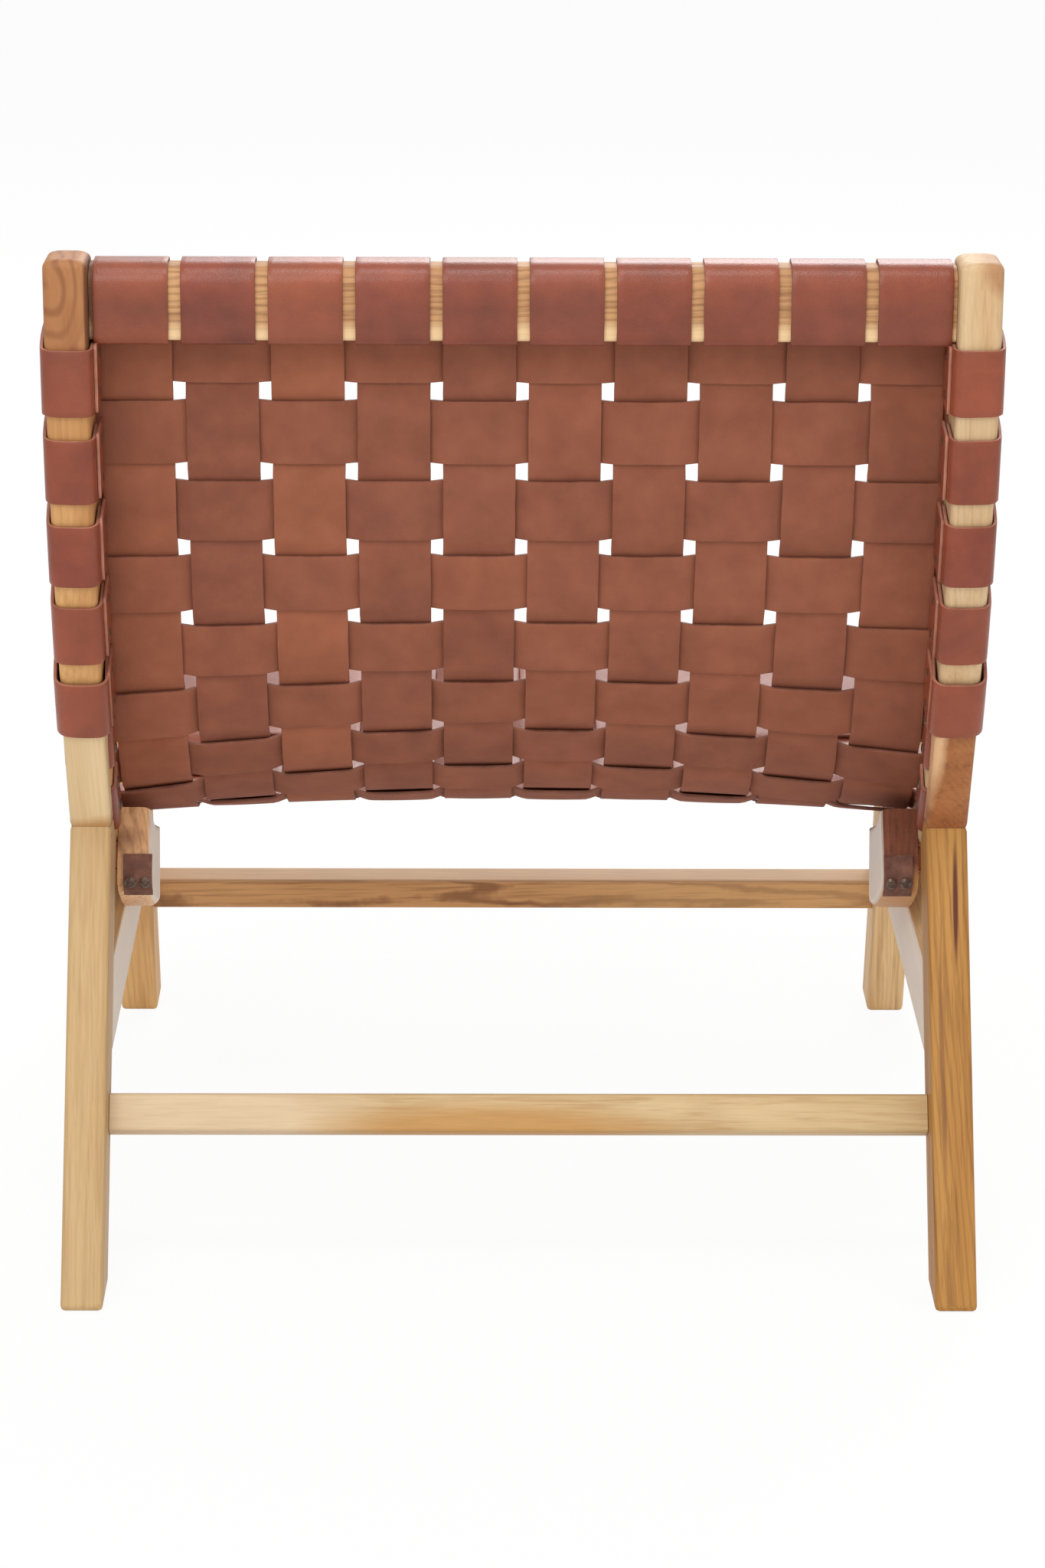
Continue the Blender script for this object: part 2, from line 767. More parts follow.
def wrap_stations(row, side):
    """Each station has x, out as a function of the depth, the way out, and the drop."""
    stations = []
    loose = row_looseness[row]
    sag = back_sag[side]
    rear = worn_radius if row_middles[row] < shoulder_place else edge_radius
    around = face_standoff + loose
    outer = outer_face - edge_radius
    outer_rear = outer_face - rear
    inner_rear = inner_face + rear

    def near_front(depth):
        return -edge_radius

    def near_back(depth):
        return rear - depth

    def flap_end(depth):
        return min(flap_length, depth * flap_share) - depth

    def between(start, end, share):
        return lambda depth: start(depth) + (end(depth) - start(depth)) * share

    def mirrored():
        return [(side * x, out, side * way_x, *rest) for x, out, way_x, *rest in stations]

    for share in (0, 0.5):
        x = inner_face + ramp_length + (outer - inner_face - ramp_length) * share
        stations.append((x, lambda depth: face_standoff, 0, 1, 0))
    stations += edge_turn(outer, near_front, edge_radius + around, 90, 0, 0, edge_drop)
    if outside_end[row]:
        for share in shares(flap_steps):
            out = between(near_front, lambda depth: end_margin - depth, share)
            stations.append((outer_face + face_standoff, out, 1, 0, 0))
        return mirrored()
    for share in shares(outer_steps)[:-1]:
        x = outer_face + around + outer_bulge * math.sin(math.pi * share)
        drop = edge_drop + (sag - 2 * edge_drop) * share
        stations.append((x, between(near_front, near_back, share), 1, 0, drop))
    drops = (sag - edge_drop, sag - late_drop)
    stations += edge_turn(outer_rear, near_back, rear + around, 0, -90, *drops)
    for share in shares(back_steps)[:-1]:
        bulge = around + back_bulge * math.sin(math.pi * share)
        x = outer_rear + (inner_rear - outer_rear) * share
        drop = sag - late_drop + late_drop * share
        stations.append((x, lambda depth, bulge=bulge: -depth - bulge, 0, -1, drop))
    stations += edge_turn(inner_rear, near_back, rear + around, -90, -180, sag, sag)
    for share in shares(flap_steps):
        x = inner_face - face_standoff - loose * (1 - share)
        stations.append((x, between(near_back, flap_end, share), -1, 0, sag))
    return mirrored()


print("stations of one wrap:", len(wrap_stations(0, 1)))

# %% [markdown]
# Between the wraps the strap follows the weave. The bend of the boards would leave it
# round across its width. A real strap pulls itself flatter than that, so most of that
# roundness is taken out again. Close to the boards it settles down on their front
# faces.

# %% Cross straps
row_tints = (0.4, 0.3, 0.1, 0.4, 0.4, 0.4, 0.2, 0.35, 0.3, 0.4, 0.35, 0.25, 0.35)
weave_step = 0.004
flat_share = 0.7
settle_length = 0.009


def cross_strap(row):
    middle = row_middles[row]
    radius = line_at(middle)[3]
    signs = [-1 if cross_is_behind(row, column) else 1 for column in range(column_count)]
    half = inner_face + ramp_length

    def weave_out(x, along):
        side, arch = swing_at(x, column_middles, signs)
        off = along - middle
        behind = (1 - side) / 2
        lift = (1 - behind) * ((strap_width / 2) ** 2 - off**2) - behind * off**2
        out = weave_standoff + weave_swing * side + patch_arch * arch
        out += flat_share * lift / (2 * radius) + crown(x, along)
        near_board = smooth_step((abs(x) - (half - settle_length)) / settle_length)
        return out + (face_standoff - out) * near_board

    def place_of(station, u):
        place = middle + u
        if len(station) == 1:
            x, drop, way_x, way_out = station[0], 0, 0, 1
            out = weave_out(x, place)
        else:
            depth = board_width if middle < shoulder_place else board_depth(place)
            x, out_of, way_x, way_out, drop = station
            out = out_of(depth)
        lower = wrap_drop * drop if middle < shoulder_place else 0
        along = middle + u / (1 - min(0, out) / radius) + lower
        y, z, angle, _ = line_at(along)
        point = Vector((x, y + math.cos(angle) * out, z + math.sin(angle) * out))
        way = Vector((way_x, math.cos(angle) * way_out, math.sin(angle) * way_out))
        return point, way

    steps = round(2 * half / weave_step)
    woven = [(-half + 2 * half * k / steps,) for k in range(1, steps)]
    left = wrap_stations(row, -1)[::-1]
    stations = left + woven + wrap_stations(row, 1)
    return bend_strap(stations, place_of, row + 1, row_tints[row], cross_width)


longest = 0
for row in range(row_count):
    shape, length = cross_strap(row)
    name = f"cross_strap_{row + 1}"
    finish_piece(name + "_leather", shape, leather, [name])
    longest = max(longest, length)
print("cross straps:", row_count, "the longest", round(longest, 3), "m")

# %% [markdown]
# Down the back, the flap of each wrap is held by a short second layer, nailed over it on
# the inner face of the board. From behind, its cut end shows as a pale ragged line.

# %% Short straps over the flaps
layer_seed = 40
layer_gap = 0.0003
layer_x = inner_face - face_standoff - strap_thickness - layer_gap
layer_rows = [row for row, middle in enumerate(row_middles) if middle < shoulder_place]
layer_front = 0.006
layer_back = 0.007
layer_drop = 0.0085
layer_width = 0.0445


def short_strap(row, side):
    middle = row_middles[row] + layer_drop

    def place_of(station, u):
        y, z = side_view(middle + u, station[0])
        return Vector((side * layer_x, y, z)), Vector((-side, 0, 0))

    length = board_width - layer_back - layer_front
    places = [-layer_front - length * share for share in [0] + shares(flap_steps)]
    stations = [(place,) + (0,) * (wrap_numbers - 1) for place in places]
    seed = layer_seed + 2 * row + side
    return bend_strap(stations, place_of, seed, row_tints[row], layer_width)[0]


for side, word in ((-1, "left"), (1, "right")):
    for row in layer_rows:
        name = f"short_strap_{word}_{row + 1}"
        finish_piece(name, short_strap(row, side), leather)
print("short straps:", 2 * len(layer_rows))

# %% [markdown]
# ## Long straps
#
# A long strap starts folded under the top rail, goes up behind it and over its round
# top, is woven down the back and along the seat, and goes round the front rail to end
# beneath it.
#
# A rail is straight, while the line of the boards is not. So a station on a rail also
# says which rail it is on, by the place of that rail's middle, and its distances are
# measured square to the rail.

# %% Stations on a rail
low_round = 0.003
top_round = 0.008
back_round = 0.013
rail_face = -0.001


def rail_turn(rail_middle, down, out, radius, from_angle, to_angle, steps=corner_steps):
    """Stations round an edge of a rail: place along the line, distance out, way."""
    stations = []
    for share in [0] + shares(steps):
        angle = math.radians(from_angle + (to_angle - from_angle) * share)
        reach = radius + face_standoff
        way = (math.cos(angle), math.sin(angle))
        stations.append((rail_middle, down + way[0] * reach, out + way[1] * reach, way))
    return stations


def rail_place(station, x):
    """The point and the way out in space, in the rail's own straight axes."""
    middle, down, out, way = station
    y, z, angle, _ = line_at(middle)
    ahead = Vector((0, math.sin(angle), -math.cos(angle)))
    normal = Vector((0, math.cos(angle), math.sin(angle)))
    point = Vector((x, y, z)) + ahead * (down - middle) + normal * out
    return point, ahead * way[0] + normal * way[1]


print("from a rail to the middle of a strap:", round(face_standoff, 4), "m")

# %% [markdown]
# On the top rail the strap starts underneath, where its folded end is nailed. It comes
# round the low edge, up the back, over the wide rounding and forwards across the top.

# %% Round the top rail
top_rail_start = 0.008
top_rail_height = 0.050
top_rail_end = top_rail_start + top_rail_height
top_rail_depth = 0.032
top_middle = (top_rail_start + top_rail_end) / 2
top_back = rail_face - top_rail_depth
fold_length = 0.022
top_stations = []
for share in [0] + shares(4):
    out = top_back + fold_length + (low_round - fold_length) * share
    top_stations.append((top_middle, top_rail_end + face_standoff, out, (1, 0)))
under_back = (top_rail_end - low_round, top_back + low_round, low_round)
top_stations += rail_turn(top_middle, *under_back, 0, -90)[1:]
straight = top_rail_end - low_round - (top_rail_start + back_round)
for share in shares(8)[:-1]:
    down = top_rail_end - low_round - straight * share
    top_stations.append((top_middle, down, top_back - face_standoff, (0, -1)))
over_back = (top_rail_start + back_round, top_back + back_round, back_round)
top_stations += rail_turn(top_middle, *over_back, -90, -180, 9)
for share in shares(3)[:-1]:
    out = top_back + back_round + (top_rail_depth - top_round - back_round) * share
    top_stations.append((top_middle, top_rail_start - face_standoff, out, (-1, 0)))
over_front = (top_rail_start + top_round, rail_face - top_round, top_round)
top_stations += rail_turn(top_middle, *over_front, 180, 90)
print("stations round the top rail:", len(top_stations))

# %% [markdown]
# At the front rail it goes the other way: over the nose of the seat, back underneath,
# and up the hidden face of the rail.

# %% Round the front rail
front_rail_height = 0.025
front_rail_end = front_rail_start + front_rail_height
front_rail_depth = 0.032
front_middle = (front_rail_start + front_rail_end) / 2
front_back = rail_face - front_rail_depth
over_nose = (front_rail_end - top_round, rail_face - top_round, top_round)
front_stations = rail_turn(front_middle, *over_nose, 90, 0)
for share in shares(4)[:-1]:
    length = front_rail_depth - top_round - low_round
    out = rail_face - top_round - length * share
    front_stations.append((front_middle, front_rail_end + face_standoff, out, (1, 0)))
under_nose = (front_rail_end - low_round, front_back + low_round, low_round)
front_stations += rail_turn(front_middle, *under_nose, 0, -90)
straight = front_rail_end - low_round - front_rail_start
for share in shares(5):
    down = front_rail_end - low_round - straight * share
    front_stations.append((front_middle, down, front_back - face_standoff, (0, -1)))
print("stations round the front rail:", len(front_stations))

# %% [markdown]
# Near each rail the strap leaves the weave and settles on the rail's front face.

# %% Long straps
column_tints = (0.6, 0.05, 0.75, 0.15, 0.15, 0.3, 0.25, 0.35, 0.25, 0.3)
long_seed = 20
top_settle = 0.004
front_settle = 0.012


def long_strap(column):
    middle = column_middles[column]
    signs = [1 if cross_is_behind(row, column) else -1 for row in range(row_count)]
    over_top = top_stations[-1][1]
    over_front = front_stations[0][1]

    def place_of(station, u):
        x = middle + u
        if len(station) == 4:
            return rail_place(station, x)
        along = station[0]
        side, arch = swing_at(along, row_middles, signs)
        out = weave_standoff + weave_swing * side + patch_arch * arch + crown(x, along)
        rail_out = rail_face + face_standoff
        from_top = smooth_step((along - over_top) / (rows_start + top_settle - over_top))
        to_front = smooth_step((over_front - along) / front_settle)
        out = rail_out + (out - rail_out) * min(from_top, to_front)
        y, z, angle, _ = line_at(along)
        way = Vector((0, math.cos(angle), math.sin(angle)))
        return Vector((x, y, z)) + way * out, way

    steps = round((over_front - over_top) / weave_step)
    woven = [(over_top + (over_front - over_top) * k / steps,) for k in range(1, steps)]
    stations = top_stations + woven + front_stations
    return bend_strap(stations, place_of, long_seed + column, column_tints[column])


longest = 0
for column in range(column_count):
    shape, length = long_strap(column)
    name = f"long_strap_{column + 1}"
    finish_piece(name + "_leather", shape, leather, [name])
    longest = max(longest, length)
print("long straps:", column_count, "the longest", round(longest, 3), "m")

# %% [markdown]
# ## Wood
#
# The frame is oiled teak, with low contrast between its growth rings. Slow clouds of
# tone, long streaks, fine threads and faint rings all run along the board, and each
# board has its own three tones and its own place in the tree. Stains, darker patches
# and the knot at the top of the left board are soft egg shapes, drawn out along the
# grain and pushed about by the same sway as the rings.

# %% Stains and growth rings
def grain_sway(tree, place):
    """A soft push to one side or the other, so that no ring or stain is even."""
    settings = {"Vector": place, "Scale": 22, "Detail": 2}
    sway = add_node(tree, "ShaderNodeTexNoise", settings).outputs["Color"]
    return vectors(tree, "SUBTRACT", sway, (0.5, 0.5, 0.5))


def growth_rings(tree, place):
    settings = {"wave_type": "RINGS", "rings_direction": "Z", "wave_profile": "SIN"}
    inputs = {"Vector": place, "Scale": 70, "Distortion": 1.2, "Detail": 2}
    return add_node(tree, "ShaderNodeTexWave", inputs, **settings).outputs[1]


def stain_at(tree, place, centre, reach, strength, ring_count):
    """How much of a stain shows: all up to half its reach, nothing past its reach."""
    off = vectors(tree, "SUBTRACT", place, tuple(centre))
    away = vectors(tree, "LENGTH", vectors(tree, "DIVIDE", off, reach))
    share = spread(tree, away, 1.0, 0.5, 0, strength)
    if ring_count:
        turns = maths(tree, "MULTIPLY", away, ring_count * 2 * math.pi)
        wave = maths(tree, "SINE", turns)
        share = maths(tree, "MULTIPLY", share, spread(tree, wave, 0, 1, 0.1, 1))
    return share


sway_width = (0.024, 0.024, 0)
stain_push, knot_push = (0.006, 0.006, 0.03), (0.03, 0.03, 0.06)
print("the rings sway by up to", sway_width[0] * 500, "mm to each side")

# %% [markdown]
# A board is coloured in layers: soft clouds of its two paler tones, then rings, streaks
# and lines in its dark tone, then its stains, and last any face that is paler than the
# rest. The clouds are stretched along the grain, and the streaks and lines far more.

# %% Wood material
cloud_squeeze, streak_squeeze = 0.12, 0.016


def wood_material(
    name,
    tones,
    lean=0,
    axis="Z",
    rings=0.2,
    figure=1,
    seed=0.0,
    stains=(),
    pale_face=None,
):
    """lean turns the grain in the side view, in degrees from upright to the front."""
    material, tree = new_material(name)
    place = add_node(tree, "ShaderNodeTexCoord").outputs["Object"]
    turn = Euler((0, math.radians(90), 0) if axis == "X" else (math.radians(lean), 0, 0))
    turned = mapped(tree, place, rotation=turn)
    in_tree = {"location": (0.04, 0.03, seed), "rotation": (0.035, 0.021, 0)}
    skewed = mapped(tree, turned, **in_tree)
    broad = mapped(tree, skewed, scale=(1, 1, cloud_squeeze))
    fine = mapped(tree, skewed, scale=(1, 1, streak_squeeze))
    sway_way = grain_sway(tree, broad)
    swayed = vectors(tree, "MULTIPLY_ADD", sway_way, sway_width, skewed)
    ring_waves = growth_rings(tree, swayed)
    clouds = noise_at(tree, broad, 34, 3)
    streaks = noise_at(tree, fine, 210, 3, 0.6)
    lines = noise_at(tree, fine, 480, 2, 0.6)
    threads = noise_at(tree, fine, 900, 2)

    pale, common, dark = [linear(*tone) for tone in tones]
    toned = mixed(tree, spread(tree, clouds, 0.32, 0.68), pale, common)
    ringed = mixed(tree, spread(tree, ring_waves, 0.55, 1.0, 0, rings), toned, dark)
    streak_share = spread(tree, streaks, 0.52, 0.72, 0, 0.55 * figure)
    streaked = mixed(tree, streak_share, ringed, dark)
    colour = mixed(tree, spread(tree, lines, 0.55, 0.68, 0, 0.4 * figure), streaked, dark)
    for centre, reach, stain, strength, ring_count in stains:
        reach = reach[::-1] if axis == "X" else reach
        push = knot_push if ring_count else stain_push
        pushed = vectors(tree, "MULTIPLY_ADD", sway_way, push, turned)
        middle = turn.to_matrix() @ Vector(centre)
        share = stain_at(tree, pushed, middle, reach, strength, ring_count)
        colour = mixed(tree, share, colour, linear(*stain))
    if pale_face:
        way, pale_tone = pale_face
        normal = add_node(tree, "ShaderNodeNewGeometry").outputs["True Normal"]
        facing = vectors(tree, "DOT_PRODUCT", normal, way)
        share = spread(tree, facing, 0.6, 0.92, 0, 0.85)
        colour = mixed(tree, share, colour, linear(*pale_tone))
    thread_tone = spread(tree, threads, 0.3, 0.7, 0.95, 1.04)
    colour = vectors(tree, "MULTIPLY", colour, thread_tone)
    roughness = spread(tree, streaks, 0.3, 0.7, 0.5, 0.6)
    finish_material(tree, colour, roughness, threads, 0.00004, 0.35)
    return material


pale_tan = ((226, 194, 148), (208, 172, 122), (176, 132, 84))
print("wood: a material is made for each board, from", len(pale_tan), "tones")

# %% [markdown]
# The boards that stand next to each other on the chair come from different trees: the
# right rear leg is much browner than the left one, and the left head is pale. A stain
# is written as its middle, its reach, its tone, its strength and its number of rings,
# which only the knot has.

# %% Tones of the side frames
inner_white = (236, 228, 216)
boards = {
    "left_side_board": {
        "tones": ((210, 160, 102), (186, 132, 78), (138, 88, 48)),
        "lean": -8,
        "rings": 0.1,
        "figure": 0.5,
        "stains": (
            ((-0.310, -0.2, 0.715), (0.030, 0.5, 0.075), (164, 108, 66), 0.85, 0),
            ((-0.324, -0.2, 0.722), (0.042, 0.5, 0.060), (120, 68, 36), 0.6, 4),
            ((-0.305, -0.2, 0.698), (0.008, 0.5, 0.020), (150, 94, 54), 0.5, 0),
            ((-0.302, -0.2, 0.672), (0.007, 0.5, 0.014), (146, 84, 58), 0.7, 0),
            ((-0.2932, -0.2, 0.705), (0.0022, 0.5, 0.06), (104, 62, 36), 0.9, 0),
        ),
    },
    "right_side_board": {
        "tones": ((212, 186, 147), (202, 167, 123), (164, 120, 77)),
        "lean": -8,
        "rings": 0.1,
        "figure": 0.6,
        "stains": (((0.322, -0.2, 0.736), (0.018, 0.5, 0.022), (166, 114, 74), 0.7, 0),),
    },
    "left_leg_head": {
        "tones": ((217, 190, 146), (207, 176, 130), (178, 138, 88)),
        "lean": -27,
        "rings": 0.05,
        "figure": 0.35,
        "stains": (
            ((-0.308, -0.137, 0.299), (0.05, 0.5, 0.018), (172, 122, 68), 0.85, 0),
        ),
    },
    "right_leg_head": {
        "tones": ((170, 109, 60), (146, 85, 44), (98, 52, 26)),
        "lean": 40,
        "rings": 0.12,
        "figure": 0.7,
        "stains": (((0.294, -0.2, 0.405), (0.010, 0.5, 0.04), (226, 184, 138), 0.8, 0),),
    },
    "left_rear_leg": {
        "tones": ((199, 166, 118), (187, 151, 102), (154, 114, 68)),
        "lean": 30.4,
        "rings": 0.12,
        "figure": 0.6,
    },
    "right_rear_leg": {
        "tones": ((187, 136, 68), (169, 116, 50), (116, 70, 30)),
        "lean": 30.4,
        "rings": 0.3,
        "stains": (
            ((0.3135, -0.165, 0.250), (0.0022, 0.5, 0.055), (92, 40, 14), 1.0, 0),
            ((0.302, -0.2, 0.13), (0.0022, 0.5, 0.10), (118, 72, 40), 0.6, 0),
        ),
    },
    "left_front_leg": {
        "tones": ((224, 182, 122), (206, 156, 98), (164, 112, 60)),
        "lean": -16.5,
    },
    "right_front_leg": {
        "tones": ((232, 200, 150), (216, 176, 124), (174, 130, 80)),
        "lean": -16.5,
    },
    "left_side_rail": {"lean": 90, "pale_face": ((1, 0, 0), inner_white)},
    "right_side_rail": {"lean": 90, "pale_face": ((-1, 0, 0), inner_white)},
}
print("tones for", len(boards), "boards of the side frames")

# %% [markdown]
# The pieces across the chair have their grain lying on its side. The left block inside
# the bend is pale and the right one is stained dark, and like the side rails both are
# nearly white on the face that looks inwards.

# %% Tones of the rails, the stretchers and the blocks
golden = ((226, 186, 138), (208, 160, 112), (166, 116, 70))
boards |= {
    "rear_stretcher": {
        "tones": ((206, 178, 134), (190, 160, 112), (170, 128, 80)),
        "axis": "X",
        "rings": 0.15,
        "stains": (
            ((-0.24, -0.2, 0.11), (0.15, 0.5, 0.05), (226, 204, 174), 0.5, 0),
            ((-0.02, -0.2, 0.100), (0.15, 0.5, 0.022), (184, 134, 70), 0.85, 0),
        ),
    },
    "front_stretcher": {
        "tones": ((214, 163, 108), (192, 138, 84), (118, 68, 34)),
        "axis": "X",
        "rings": 0.7,
        "pale_face": ((0, -0.28, 0.96), (246, 216, 178)),
        "stains": (((0.2, 0.25, 0.11), (0.2, 0.5, 0.05), (224, 178, 120), 0.4, 0),),
    },
    "top_rail": {
        "tones": ((206, 158, 108), (180, 128, 84), (128, 84, 52)),
        "axis": "X",
        "rings": 0.45,
        "stains": (
            ((0, -0.2, 0.676), (0.9, 0.5, 0.016), (232, 198, 150), 0.9, 0),
            ((-0.293, -0.2, 0.705), (0.006, 0.5, 0.05), (104, 62, 38), 0.9, 0),
        ),
    },
    "front_rail": {"tones": golden, "axis": "X"},
    "left_corner_block": {
        "tones": ((246, 200, 148), (226, 174, 124), (164, 112, 74)),
        "lean": 20,
        "rings": 0.4,
        "pale_face": ((1, 0, 0), inner_white),
        "stains": (((-0.29, -0.13, 0.292), (0.02, 0.08, 0.014), (120, 74, 50), 0.7, 0),),
    },
    "right_corner_block": {
        "tones": ((136, 72, 38), (102, 50, 26), (66, 32, 16)),
        "lean": 20,
        "rings": 0.25,
        "pale_face": ((-1, 0, 0), inner_white),
        "stains": (((0.28, -0.03, 0.205), (0.05, 0.3, 0.028), (206, 150, 92), 0.85, 0),),
    },
}
print("boards with tones of their own:", len(boards))

# %% [markdown]
# Every board is cut from another place in its tree, so no two have the same pattern. A
# wooden piece takes its name, its material and its slot from the solid it replaces.
# Flat faces are kept flat, and light runs round the edges between them.

# %% Finishing a board
tree_step = 0.37
sharp_angle = math.radians(50)


def finish_board(name, shape, number):
    """number is the board's place in the tree, and name the solid that it replaces."""
    settings = {"tones": pale_tan, "seed": number * tree_step, **boards.get(name, {})}
    material = wood_material(f"wood_{name}", **settings)
    piece = finish_piece(f"{name}_wood", shape, material, [name])
    piece.data.set_sharp_from_angle(angle=sharp_angle)
    weighted = piece.modifiers.new("smooth_faces", "WEIGHTED_NORMAL")
    weighted.keep_sharp = True


# %% [markdown]
# The two side boards are drawn as rings of points that follow the line. Near each end
# the ring draws in like a worn bar of soap, and behind the bend it steps back to make
# room for the head of the rear leg.

# %% One ring of a side board
end_dome = 0.0058
end_softening = 0.0035
board_top = 0.0022
section_steps = 4


def board_ring(place, depth, side):
    """A rounded rectangle of points across the board, drawn in near the board's ends."""
    from_end = max(0, min(place - board_top, board_length - place))
    left = max(0, 1 - from_end / end_dome)
    inset = end_dome * (1 - math.sqrt(1 - left**2))
    front = edge_radius + end_softening * left
    rear = max(front, worn_radius) if place < shoulder_place else front
    corners = (
        (outer_face - inset - front, -inset - front, front),
        (inner_face + inset + front, -inset - front, front),
        (inner_face + inset + rear, inset + rear - depth, rear),
        (outer_face - inset - rear, inset + rear - depth, rear),
    )
    points = []
    for quarter, (x, out, radius) in enumerate(corners):
        for share in [0] + shares(section_steps):
            angle = (quarter + share) * math.pi / 2
            y, z = side_view(place, out + math.sin(angle) * radius)
            points.append(Vector((side * (x + math.cos(angle) * radius), y, z)))
    return points


middle_ring = board_ring(back_length / 2, board_width, 1)
print("a ring of a side board has", len(middle_ring), "points")

# %% [markdown]
# The rings lie closest together at the two domed ends, and closer round the bend and
# along the seat than down the back. At the shoulder two of them share one place, which
# makes the step.

# %% Side boards
dome_steps, curve_steps, seat_steps = 6, 50, 110


def board_places():
    turns = [math.pi / 2 * share for share in [0] + shares(dome_steps)]
    places = [end_dome * (1 - math.cos(turn)) for turn in turns]
    stops = [(board_top + place, board_width) for place in places]
    runs = (
        (board_top + end_dome, shoulder_place, curve_steps),
        (shoulder_place, board_length - end_dome, seat_steps),
    )
    for start, end, steps in runs:
        for share in [0] + shares(steps):
            place = start + (end - start) * share
            narrow = share == 0 and start == shoulder_place
            stops.append((place, neck_depth if narrow else board_depth(place)))
    return stops + [(board_length - place, nose_depth) for place in places[::-1]]


for side, name in ((-1, "left_side_board"), (1, "right_side_board")):
    rings = [board_ring(place, depth, side) for place, depth in board_places()]
    finish_board(name, new_tube(rings), side)
print("side boards:", len(board_places()), "rings each")

# %% [markdown]
# The straight pieces keep the shape of their solids. Each solid comes as loose
# triangles, so a copy of it is merged, and the triangles of each flat face are joined
# to one face, before it is shaded smoothly.

# %% Legs, rails and stretchers
flat_angle = math.radians(0.5)


def merged_solid(name):
    shape = bmesh.new()
    shape.from_mesh(nodes[name].data)
    bmesh.ops.remove_doubles(shape, verts=shape.verts, dist=merge_reach)
    bmesh.ops.dissolve_limit(
        shape, angle_limit=flat_angle, verts=shape.verts, edges=shape.edges
    )
    return shape


wooden = [name for name in sorted(nodes) if "strap" not in name and "nail" not in name]
for number, name in enumerate(wooden):
    if "side_board" in name or name == "top_rail" or "block" in name:
        continue
    finish_board(name, merged_solid(name), number)
print("wooden pieces:", len(wooden))

# %% [markdown]
# The top rail has a wide rounding at the back, worn by hands, where the straps pull
# over it. Its rings follow one another across the chair, from board to board.

# %% Top rail
rail_tree = 50
rail_end = inner_face - touch_gap


def rail_ring(x):
    corners = (
        (top_rail_end - low_round, rail_face - low_round, low_round),
        (top_rail_end - low_round, top_back + low_round, low_round),
        (top_rail_start + back_round, top_back + back_round, back_round),
        (top_rail_start + top_round, rail_face - top_round, top_round),
    )
    points = []
    for quarter, (down, out, radius) in enumerate(corners):
        for share in [0] + shares(8):
            angle = math.pi / 2 * (1 - quarter - share)
            down_there = down + math.cos(angle) * radius
            out_there = out + math.sin(angle) * radius
            station = (top_middle, down_there, out_there, (1, 0))
            points.append(rail_place(station, x)[0])
    return points


places = [-rail_end + 2 * rail_end * share for share in [0] + shares(6)]
finish_board("top_rail", new_tube([rail_ring(x) for x in places]), rail_tree)
print("rail ring:", len(rail_ring(0)), "points")

# %% [markdown]
# The blocks inside the bends have their inner edges taken off. The outline of a block
# is read from the solid, on the flat face that looks inwards, and each ring is that
# outline, drawn in a little less than the one before. The left block is worn thinner.

# %% Outline of a corner block
block_round = 0.007
cad_round = 0.003
worn_off = 0.003
inward_enough = 0.99


def block_outline(name, side):
    """Outline of the block in the side view, from the flat face that looks inwards."""
    shape = merged_solid(name)
    inward = [face for face in shape.faces if face.normal.x * side < -inward_enough]
    face = max(inward, key=lambda candidate: candidate.calc_area())
    outline = [vert.co.copy() for vert in face.verts]
    shape.free()
    return outline


def grown(outline, reach):
    """The outline with each point moved out, square to the line of its neighbours."""
    middle = sum(outline, Vector()) / len(outline)
    points = []
    for k, point in enumerate(outline):
        ahead = outline[(k + 1) % len(outline)] - outline[k - 1]
        away = Vector((0, ahead.z, -ahead.y)).normalized()
        if away.dot(point - middle) < 0:
            away = -away
        points.append(point + away * reach)
    return points


print("the inner edges are rounded by", block_round, "m, and in the solid by", cad_round)

# %% [markdown]
# Seven rings make the rounding, and one more closes the block against its board.

# %% Corner blocks
block_tree = 60
for side, name in ((-1, "left_corner_block"), (1, "right_corner_block")):
    outline = block_outline(name, side)
    inner_x = abs(outline[0].x) + (worn_off if side < 0 else 0)
    rings = []
    for share in [0] + shares(6):
        angle = math.pi / 2 * share
        reach = cad_round - block_round + block_round * math.sin(angle)
        x = side * (inner_x + block_round * (1 - math.cos(angle)))
        rings.append([Vector((x, p.y, p.z)) for p in grown(outline, reach)])
    x = side * (inner_face - touch_gap)
    rings.append([Vector((x, p.y, p.z)) for p in grown(outline, cad_round)])
    finish_board(name, new_tube(rings), block_tree + side)
    print(name, len(outline), "points round")

# %% [markdown]
# ## Nails
#
# Every strap end that shows is held by two small dull nails with low domes. A nail is
# turned, so half of its outline is drawn once and spun round. Each pair of numbers is
# a distance from the middle and a height over the leather.

# %% Nail helper
nail_profile = (
    (0, -0.0003),
    (0.0042, -0.0003),
    (0.0042, 0.0002),
    (0.0036, 0.0009),
    (0.0021, 0.0014),
    (0, 0.0016),
)
nail_sides = 14


def add_nail(shape, place, way):
    """Spins half a nail's outline round the point place, facing the way."""
    turn = Vector((0, 0, 1)).rotation_difference(way).to_matrix()
    outline = [shape.verts.new(place + turn @ Vector((x, 0, z))) for x, z in nail_profile]
    edges = [shape.edges.new(pair) for pair in zip(outline, outline[1:])]
    bmesh.ops.spin(
        shape,
        geom=outline + edges,
        cent=place,
        axis=way,
        dvec=(0, 0, 0),
        angle=2 * math.pi,
        steps=nail_sides,
        use_merge=True,
    )


print("nail:", nail_sides, "sides")

# %% [markdown]
# The metal is dull and brown, with specks, as old nails are.

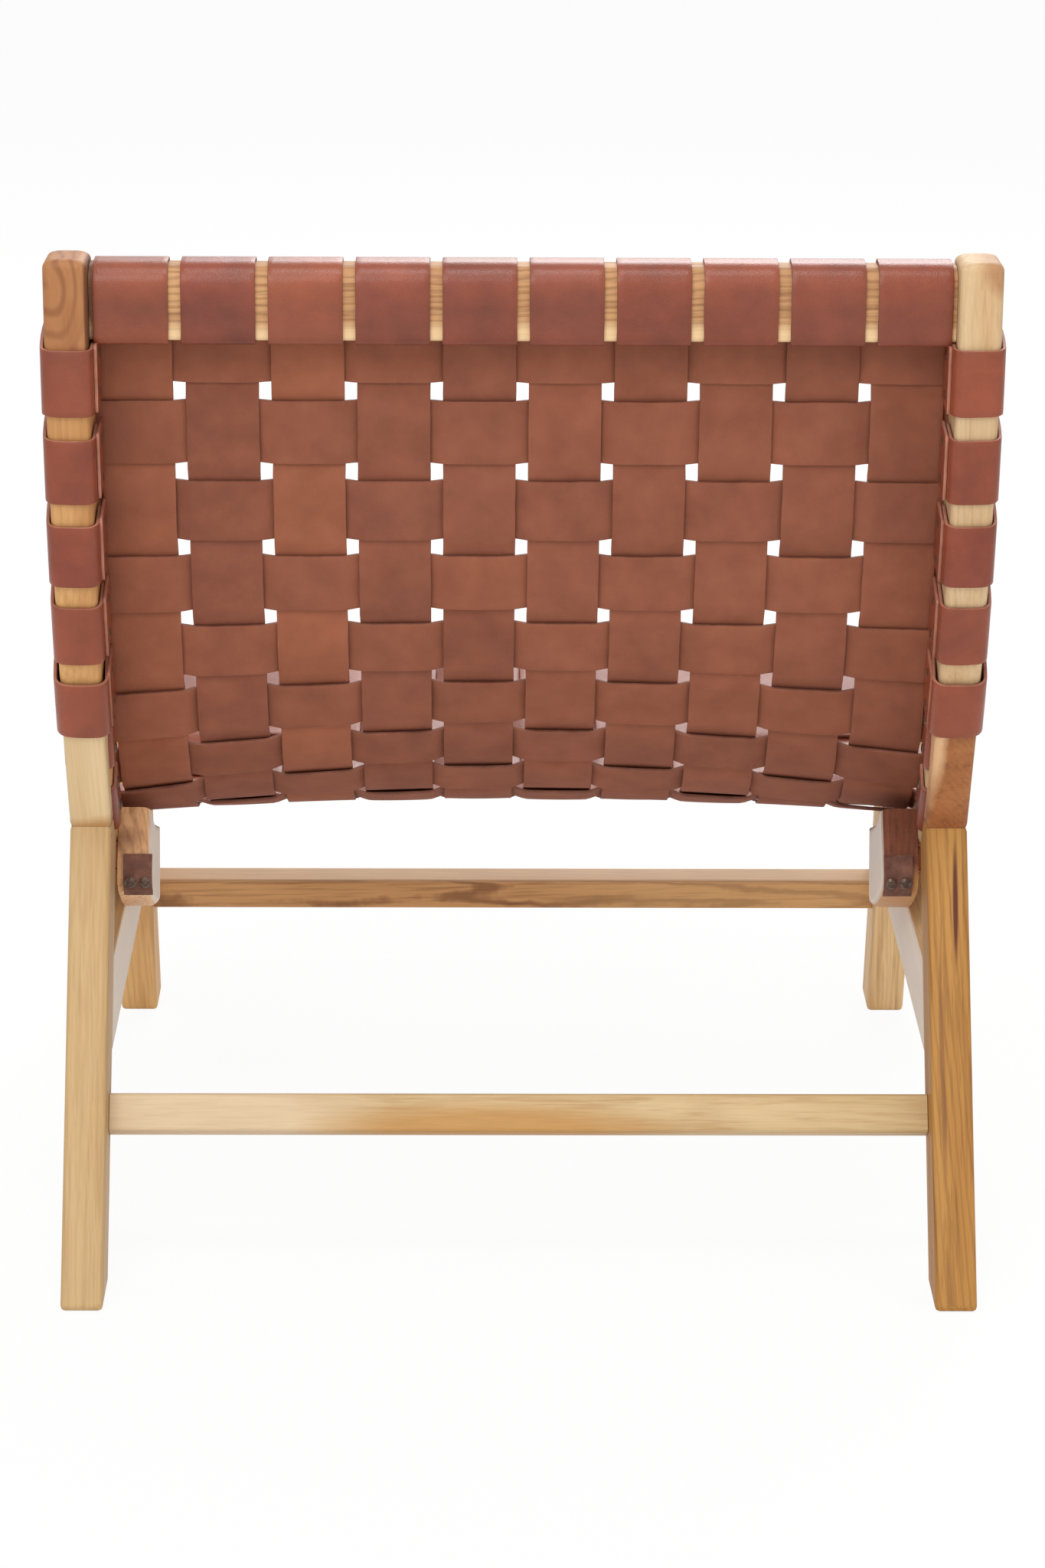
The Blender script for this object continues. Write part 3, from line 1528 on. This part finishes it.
# %% Metal of the nails
metal, tree = new_material("dull_nails")
place = add_node(tree, "ShaderNodeTexCoord").outputs["Object"]
metal_noise = noise_at(tree, place, 700, 3)
specks = spread(tree, metal_noise, 0.35, 0.65)
metal_colour = mixed(tree, specks, linear(70, 56, 48), linear(112, 90, 76))
finish_material(tree, metal_colour, 0.45, metal_noise, 0.00005, 0.5, Metallic=0.5)
print("dull metal:", len(tree.nodes), "nodes")

# %% [markdown]
# At the boards, a nail stands on the outer face over the front leg, on the short
# strap down the back, and on the flap of the wrap along the seat. Its place across the
# face is a share of the board's depth. The blocks inside the bends hold the straps
# behind them, which have no nails.

# %% Nails at the boards
nail_shape = bmesh.new()
nail_count = 0
nail_spread = 0.0136
nail_sunk = 0.0008
outside_share, layer_share, flap_nail_share = 0.72, 0.5, 0.62
block_angles = math.radians(51), math.radians(76)
block_start, block_end = [
    bend_start + bend_radius * (angle - knee_angle) + past * strap_width / 2
    for angle, past in zip(block_angles, (-1, 1))
]
half = strap_thickness / 2
for side in (-1, 1):
    for row, middle in enumerate(row_middles):
        for off in (-nail_spread, nail_spread):
            along = middle + off
            if outside_end[row]:
                x, share = outer_face + face_standoff + half, outside_share
                facing = side
            elif block_start < middle < block_end:
                continue
            elif row in layer_rows:
                along += layer_drop
                x, share = layer_x - half + nail_sunk, layer_share
                facing = -side
            else:
                x, share = inner_face - face_standoff - half, flap_nail_share
                facing = -side
            y, z = side_view(along, -share * board_depth(min(along, middle)))
            add_nail(nail_shape, Vector((side * x, y, z)), Vector((facing, 0, 0)))
            nail_count += 1
print("nails at the boards:", nail_count)

# %% [markdown]
# At the rails, the nails are driven up into the top rail and into the hidden face of
# the front rail. All of these nails are one piece.

# %% Nails at the rails
fold_nail = 0.014
hidden_nail = 0.012
on_leather = face_standoff + half
under = (top_middle, top_rail_end + on_leather, top_back + fold_nail, (1, 0))
hidden = (front_middle, front_rail_start + hidden_nail, front_back - on_leather, (0, -1))
for middle in column_middles:
    for off in (-nail_spread, nail_spread):
        for station in (under, hidden):
            add_nail(nail_shape, *rail_place(station, middle + off))
            nail_count += 1
bmesh.ops.remove_doubles(nail_shape, verts=nail_shape.verts, dist=merge_reach)
bmesh.ops.recalc_face_normals(nail_shape, faces=nail_shape.faces)
finish_piece("strap_nails", nail_shape, metal)
print("nails:", nail_count)

# %% [markdown]
# ## Straps on the corner blocks
#
# Each block has a strap end with two nails. They keep the shape of their solids and
# only get new finishes. The strap ends are offcuts, darker and greyer than the seat.

# %% Straps on the corner blocks
offcut, tree = new_material("offcut_leather")
place = add_node(tree, "ShaderNodeTexCoord").outputs["Object"]
blots = spread(tree, noise_at(tree, place, 90, 4, 0.6), 0.3, 0.7)
fibres = noise_at(tree, place, 900, 3, 0.7)
offcut_colour = mixed(tree, blots, linear(88, 54, 43), linear(130, 88, 73))
height = maths(tree, "ADD", maths(tree, "MULTIPLY", blots, 6.0), fibres)
finish_material(tree, offcut_colour, 0.7, height, 0.0001, 0.3)
for name, node in nodes.items():
    if "nail" in name:
        node.data.materials.clear()
        node.data.materials.append(metal)
    if "strap_tab" in name:
        node.data.materials.clear()
        node.data.materials.append(offcut)
print("offcut leather:", len(tree.nodes), "nodes")

# %% [markdown]
# ## Last look
#
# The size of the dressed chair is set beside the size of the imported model, and the
# scene is handed over.

# %% Record both sizes and finish
print("pieces made:", len(made_pieces))
